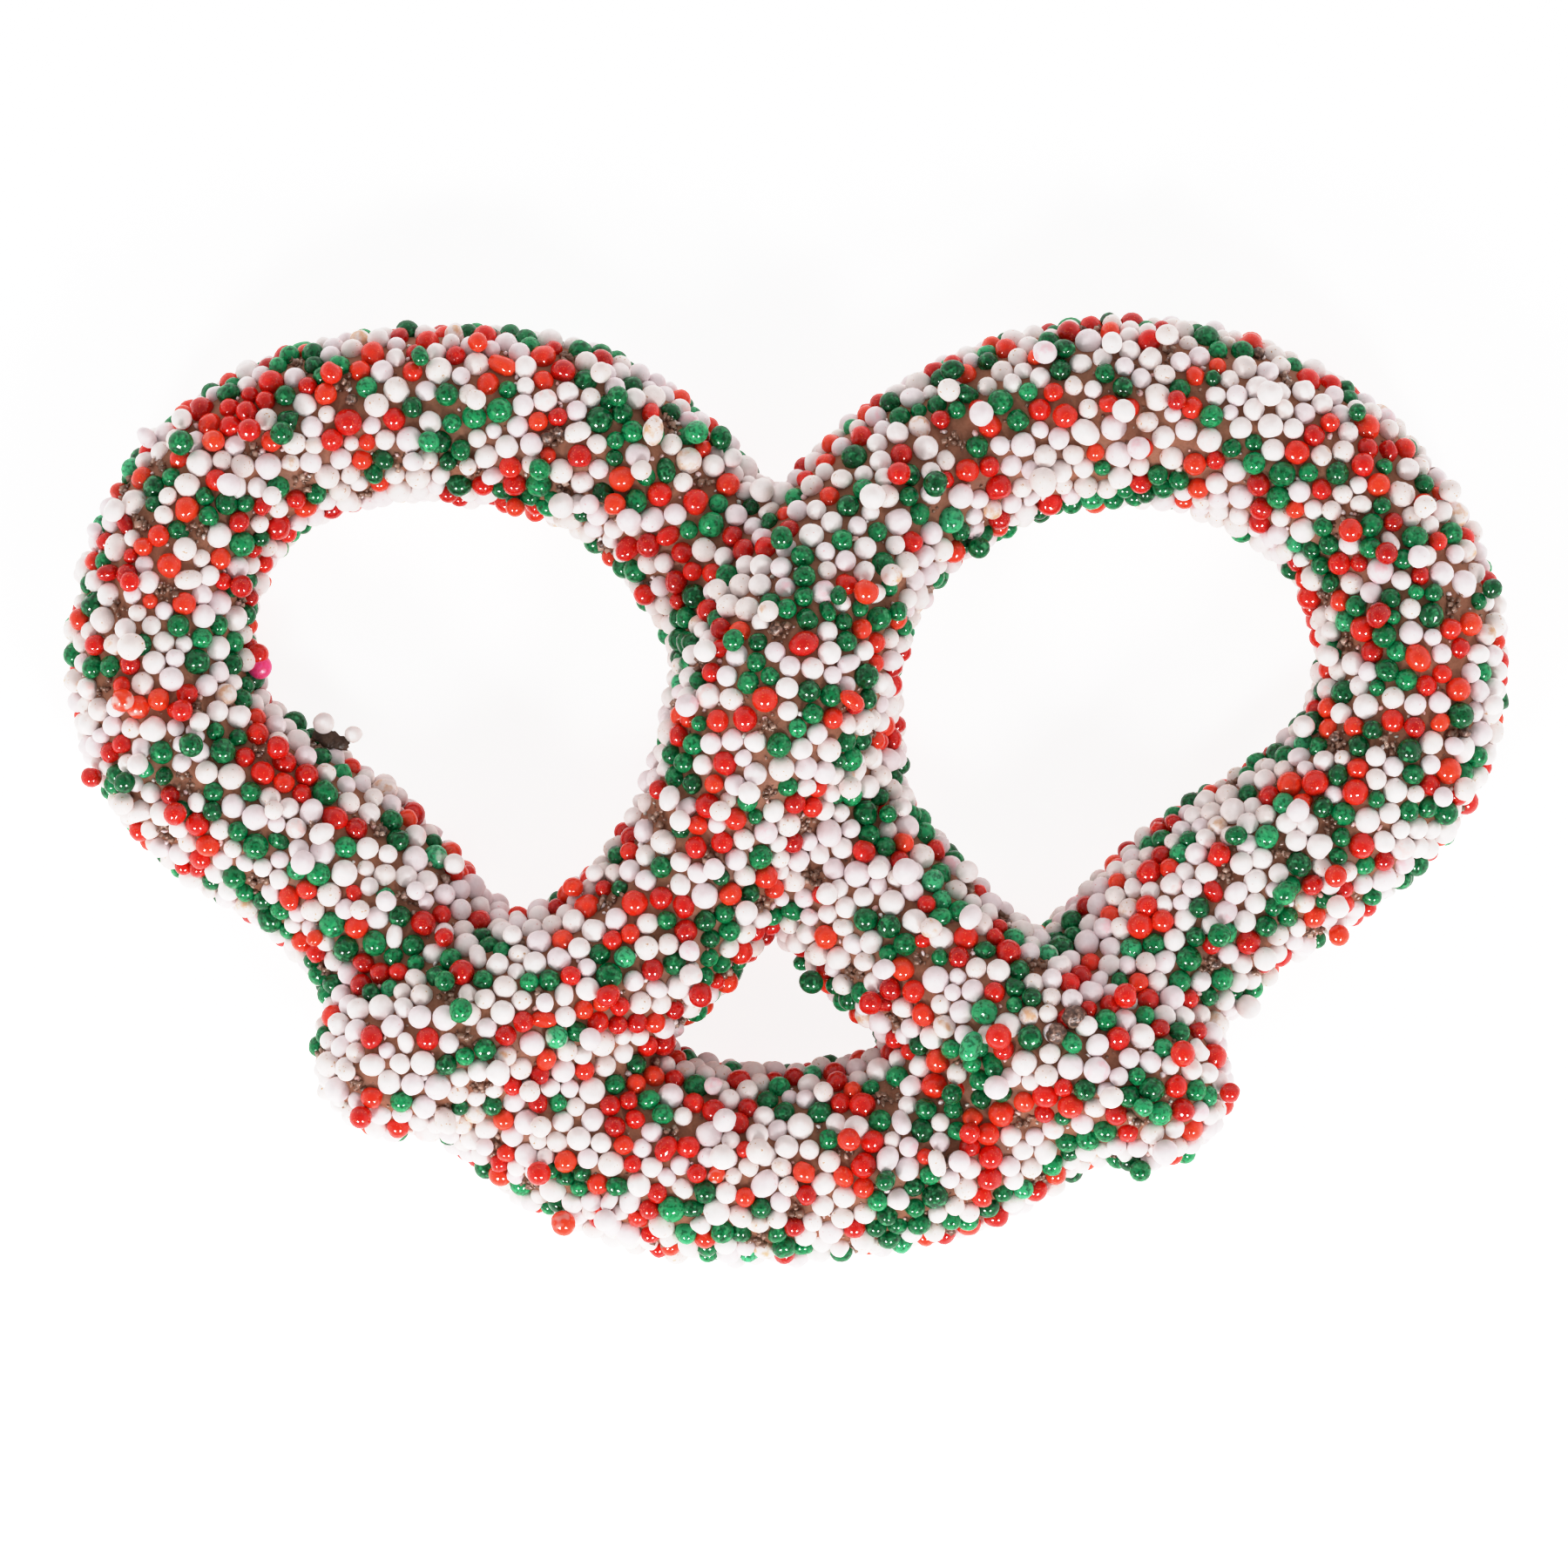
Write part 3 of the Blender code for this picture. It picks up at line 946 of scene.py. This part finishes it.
def add_light():
    kinds = (("strobe", STROBE_SIZE, STROBE_POWER), ("glint", GLINT_SIZE, GLINT_POWER))
    for n, place in enumerate(STROBES):
        for name, size, power in kinds:
            light = bpy.data.lights.new(f"{name}_{n}", "AREA")
            light.size = size
            light.energy = power
            lamp = bpy.data.objects.new(light.name, light)
            lamp.location = place
            lamp.rotation_euler = (-Vector(place)).to_track_quat("-Z", "Y").to_euler()
            lamp.visible_diffuse = name == "strobe"
            bpy.context.collection.objects.link(lamp)
    world = bpy.data.worlds.new("studio")
    world.use_nodes = True
    tree = world.node_tree
    tree.nodes["Background"].inputs["Color"].default_value = (1.0, 1.0, 1.0, 1.0)
    towards = tree.nodes.new("ShaderNodeTexCoord")
    split = tree.nodes.new("ShaderNodeSeparateXYZ")
    fade = tree.nodes.new("ShaderNodeMapRange")
    fade.interpolation_type = "SMOOTHSTEP"
    fade.inputs["From Min"].default_value = FADE[0]
    fade.inputs["From Max"].default_value = FADE[1]
    fade.inputs["To Min"].default_value = HORIZON
    fade.inputs["To Max"].default_value = ZENITH
    tree.links.new(towards.outputs["Generated"], split.inputs["Vector"])
    tree.links.new(split.outputs["Z"], fade.inputs["Value"])
    tree.links.new(fade.outputs["Result"], tree.nodes["Background"].inputs["Strength"])
    bpy.context.scene.world = world


def set_tone():
    """A photograph's tone curve, which rolls off towards white."""
    view = bpy.context.scene.view_settings
    view.view_transform = "Standard"
    view.use_curve_mapping = True
    mapping = view.curve_mapping
    mapping.clip_max_x = TONE_END
    curve = mapping.curves[3]
    curve.points[1].location = (TONE_END, 1.0)
    for level in TONE:
        curve.points.new(*level)
    mapping.update()


def add_camera():
    data = bpy.data.cameras.new("camera")
    data.sensor_width = SENSOR_WIDTH
    data.lens = SENSOR_WIDTH * (CAMERA_HEIGHT - OUTLINE_HEIGHT) / FRAME_WIDTH
    camera = bpy.data.objects.new("camera", data)
    camera.location = (*FRAME_CENTRE, CAMERA_HEIGHT)
    bpy.context.collection.objects.link(camera)
    bpy.context.scene.camera = camera


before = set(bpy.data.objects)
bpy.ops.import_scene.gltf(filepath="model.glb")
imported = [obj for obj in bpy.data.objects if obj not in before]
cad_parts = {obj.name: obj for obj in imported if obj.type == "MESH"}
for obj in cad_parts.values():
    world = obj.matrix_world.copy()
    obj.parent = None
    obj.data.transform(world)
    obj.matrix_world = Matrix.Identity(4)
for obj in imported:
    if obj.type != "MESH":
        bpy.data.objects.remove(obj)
cad_low, cad_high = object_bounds()
rng = np.random.default_rng(SEED)

line = strand_line()
guide = melted_coat("guide", line, FINE_COAT, SOLID_VOXEL)
sites = bead_sites(line, skin_of(guide))
bpy.data.objects.remove(guide)

coat = melted_coat("chocolate_coat", line, 0.0, CHOCOLATE_VOXEL)
flat_foot(coat)
skin = skin_of(coat)
starts, area = surface_points(coat.data, START_POINTS, rng)
count = round(COVER * area / (math.pi * (BALL_RADIUS**2 + BALL_RADIUS_SPREAD**2)))
radii = rng.normal(BALL_RADIUS, BALL_RADIUS_SPREAD, count).clip(*BALL_RADIUS_RANGE)
rise = radii * rng.uniform(*BALL_RISE, count)
centres, _ = on_skin(skin, starts[:count], radii, rise)
held = len(sites)
centres[:held] = [foot + normal * (NONPAREIL_STAND - FINE_COAT - radius) for foot, normal, radius in sites]
radii[:held] = [radius for _, _, radius in sites]
centres = settle(skin, centres, radii, rise, held)
late, late_radii = fill_bare(skin, coat.data, centres, radii, rng)
centres = np.vstack([centres, late])
radii = np.concatenate([radii, late_radii])
given_up = cluster_places(skin, centres, radii, held, rng)
clusters = centres[given_up]
centres = np.delete(centres, given_up, axis=0)
radii = np.delete(radii, given_up)
reach = Vector((PERCHED_REACH, PERCHED_REACH, PERCHED_REACH))
perched, perched_radii = perch(skin, coat.data, centres, radii, cad_low - reach, cad_high + reach, rng)
centres = np.vstack([centres, perched])
radii = np.concatenate([radii, perched_radii])

add_balls(centres, radii, rng)
add_gap_fillers(skin, coat.data, centres, radii, clusters, rng)
add_strays(rng)
coat.data.shade_smooth()
coat.data.materials.clear()
coat.data.materials.append(milk_chocolate())
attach(coat, "root")
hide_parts(NODE)

add_stage()
add_light()
add_camera()
set_tone()
